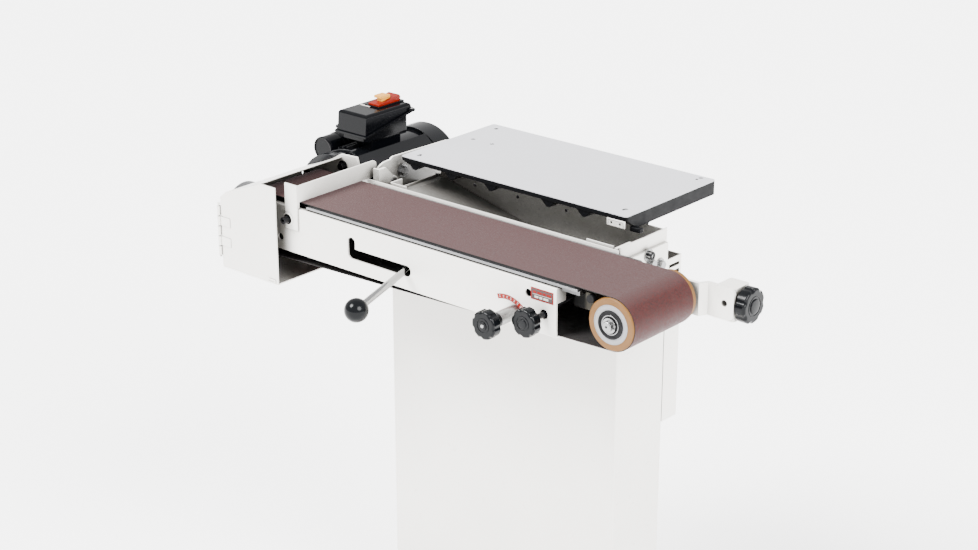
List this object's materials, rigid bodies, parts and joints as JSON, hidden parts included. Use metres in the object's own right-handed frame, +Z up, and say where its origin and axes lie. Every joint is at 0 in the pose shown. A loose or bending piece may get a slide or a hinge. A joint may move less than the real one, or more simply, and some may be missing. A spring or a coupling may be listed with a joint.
{
  "type": "edge belt sander",
  "caption": "Stationary 6 inch edge belt sander on a cabinet stand, head tilted flat, with work table, tension lever and end-mounted motor.",
  "frame": {"origin": "centre of the four floor bolt holes, on the floor under the base plate", "axes": "+Z up, +X along the belt from the motor to the idler roller, +Y across the belt from the head to the work table"},
  "size_m": [1.015, 0.682, 0.976],
  "materials": {
    "white_paint": "gloss warm white paint",
    "black_paint": "gloss black paint",
    "table_grey": "satin light grey coating",
    "table_black": "black painted casting",
    "bare_steel": "machined steel",
    "bright_steel": "polished plating",
    "cast_iron": "bare grey casting",
    "abrasive": "coated abrasive grain on cloth",
    "graphite": "graphite cloth",
    "roller_tan": "moulded urethane",
    "roller_white": "moulded core",
    "black_rubber": "moulded rubber",
    "black_plastic": "gloss phenolic",
    "red_plastic": "gloss moulding",
    "yellow_plastic": "gloss moulding",
    "copper_winding": "lacquered winding and laminations",
    "label_red": "printed film"
  },
  "bodies": {
    "stand": {"base_plate": "white_paint", "pedestal": "white_paint", "gussets": "white_paint", "dust_pan": "white_paint", "rear_box": "white_paint", "end_plate_left": "white_paint", "pivot_pins": "bare_steel", "frame_bolts": "bare_steel", "end_bracket": "white_paint", "end_post_block": "white_paint", "table_guides": "white_paint"},
    "table": {"table_casting": "table_black", "table_face": "table_grey", "table_screws": "bare_steel", "table_arms": "white_paint"},
    "table_knob_left": {"table_knob_left": "black_plastic"},
    "table_knob_right": {"table_knob_right": "black_plastic"},
    "end_knob": {"end_knob": "black_plastic"},
    "head": {"front_panel": "white_paint", "back_plate": "white_paint", "cross_tubes": "white_paint", "platen": "bare_steel", "graphite_pad": "graphite", "sanding_belt": "abrasive", "pivot_lugs": "white_paint", "work_stop": "white_paint", "head_bolts": "bare_steel", "lever_mount": "white_paint", "spring_anchor": "white_paint", "motor_plate": "white_paint", "hood_shell": "white_paint", "dust_port": "bare_steel", "hood_hinge": "white_paint", "motor_housing": "black_paint", "motor_fan_cover": "black_paint", "motor_stator": "copper_winding", "capacitor": "black_plastic", "switch_box": "black_plastic", "switch_lid": "black_plastic", "labels": "label_red", "tracking_sleeve": "bare_steel"},
    "drive": {"drive_core": "cast_iron", "drive_lagging": "black_rubber", "motor_rotor": "bare_steel", "motor_fan": "black_plastic"},
    "idler_carrier": {"idler_carrier": "cast_iron", "carrier_bumper": "black_rubber", "idler_shaft": "bare_steel", "idler_circlip": "bare_steel", "tension_spring": "bare_steel"},
    "idler": {"idler_hub": "roller_white", "idler_sleeve": "roller_tan", "idler_bearings": "black_rubber"},
    "tension_lever": {"tension_lever": "bright_steel", "lever_ball": "black_plastic"},
    "tracking_knob": {"tracking_knob": "black_plastic"},
    "lock_knob": {"lock_knob": "black_plastic"},
    "hood_door": {"hood_door": "white_paint"},
    "switch_toggle": {"switch_toggle": "red_plastic"},
    "safety_key": {"safety_key": "yellow_plastic"}
  },
  "joints": [
    {"name": "table_height", "type": "slide", "parent": "stand", "child": "table", "axis": [0, 0, 1], "range_m": [-0.006, 0.04]},
    {"name": "table_knob_left_turn", "type": "hinge", "parent": "stand", "child": "table_knob_left", "pos_m": [-0.096, 0.127, 0.76], "axis": [0, 1, 0], "continuous": true},
    {"name": "table_knob_right_turn", "type": "hinge", "parent": "stand", "child": "table_knob_right", "pos_m": [0.138, 0.127, 0.76], "axis": [0, 1, 0], "continuous": true},
    {"name": "end_knob_turn", "type": "hinge", "parent": "stand", "child": "end_knob", "pos_m": [0.475, -0.021, 0.815], "axis": [1, 0, 0], "continuous": true},
    {"name": "head_tilt", "type": "hinge", "parent": "stand", "child": "head", "pos_m": [0, -0.031, 0.857], "axis": [-1, 0, 0], "range_deg": [0, 90]},
    {"name": "drive_spin", "type": "hinge", "parent": "head", "child": "drive", "pos_m": [-0.406, -0.157, 0.8075], "axis": [0, 1, 0], "continuous": true},
    {"name": "idler_slide", "type": "slide", "parent": "head", "child": "idler_carrier", "axis": [1, 0, 0], "range_m": [-0.0041, 0]},
    {"name": "idler_spin", "type": "hinge", "parent": "idler_carrier", "child": "idler", "pos_m": [0.374, -0.157, 0.82], "axis": [0, 1, 0], "continuous": true},
    {"name": "lever_swing", "type": "hinge", "parent": "head", "child": "tension_lever", "pos_m": [-0.102, -0.106, 0.804], "axis": [0, 0, -1], "range_deg": [0, 47]},
    {"name": "tracking_knob_turn", "type": "hinge", "parent": "head", "child": "tracking_knob", "pos_m": [0.186, -0.308, 0.794], "axis": [0, -1, 0], "continuous": true},
    {"name": "lock_knob_turn", "type": "hinge", "parent": "head", "child": "lock_knob", "pos_m": [0.246, -0.282, 0.8055], "axis": [0, -1, 0], "continuous": true},
    {"name": "hood_door_swing", "type": "hinge", "parent": "head", "child": "hood_door", "pos_m": [-0.4835, -0.2725, 0.783], "axis": [0, 0, -1], "range_deg": [0, 110]},
    {"name": "toggle_rock", "type": "hinge", "parent": "head", "child": "switch_toggle", "pos_m": [-0.399, 0.072, 0.959], "axis": [1, 0, 0], "range_deg": [-12, 0]},
    {"name": "key_pull", "type": "slide", "parent": "switch_toggle", "child": "safety_key", "axis": [0, 0, 1], "range_m": [0, 0.02]}
  ],
  "couplings": [
    {"joint": "idler_spin", "follows": "drive_spin", "ratio": 1.2854},
    {"joint": "idler_slide", "follows": "lever_swing", "m_per_rad": -0.00488}
  ]
}
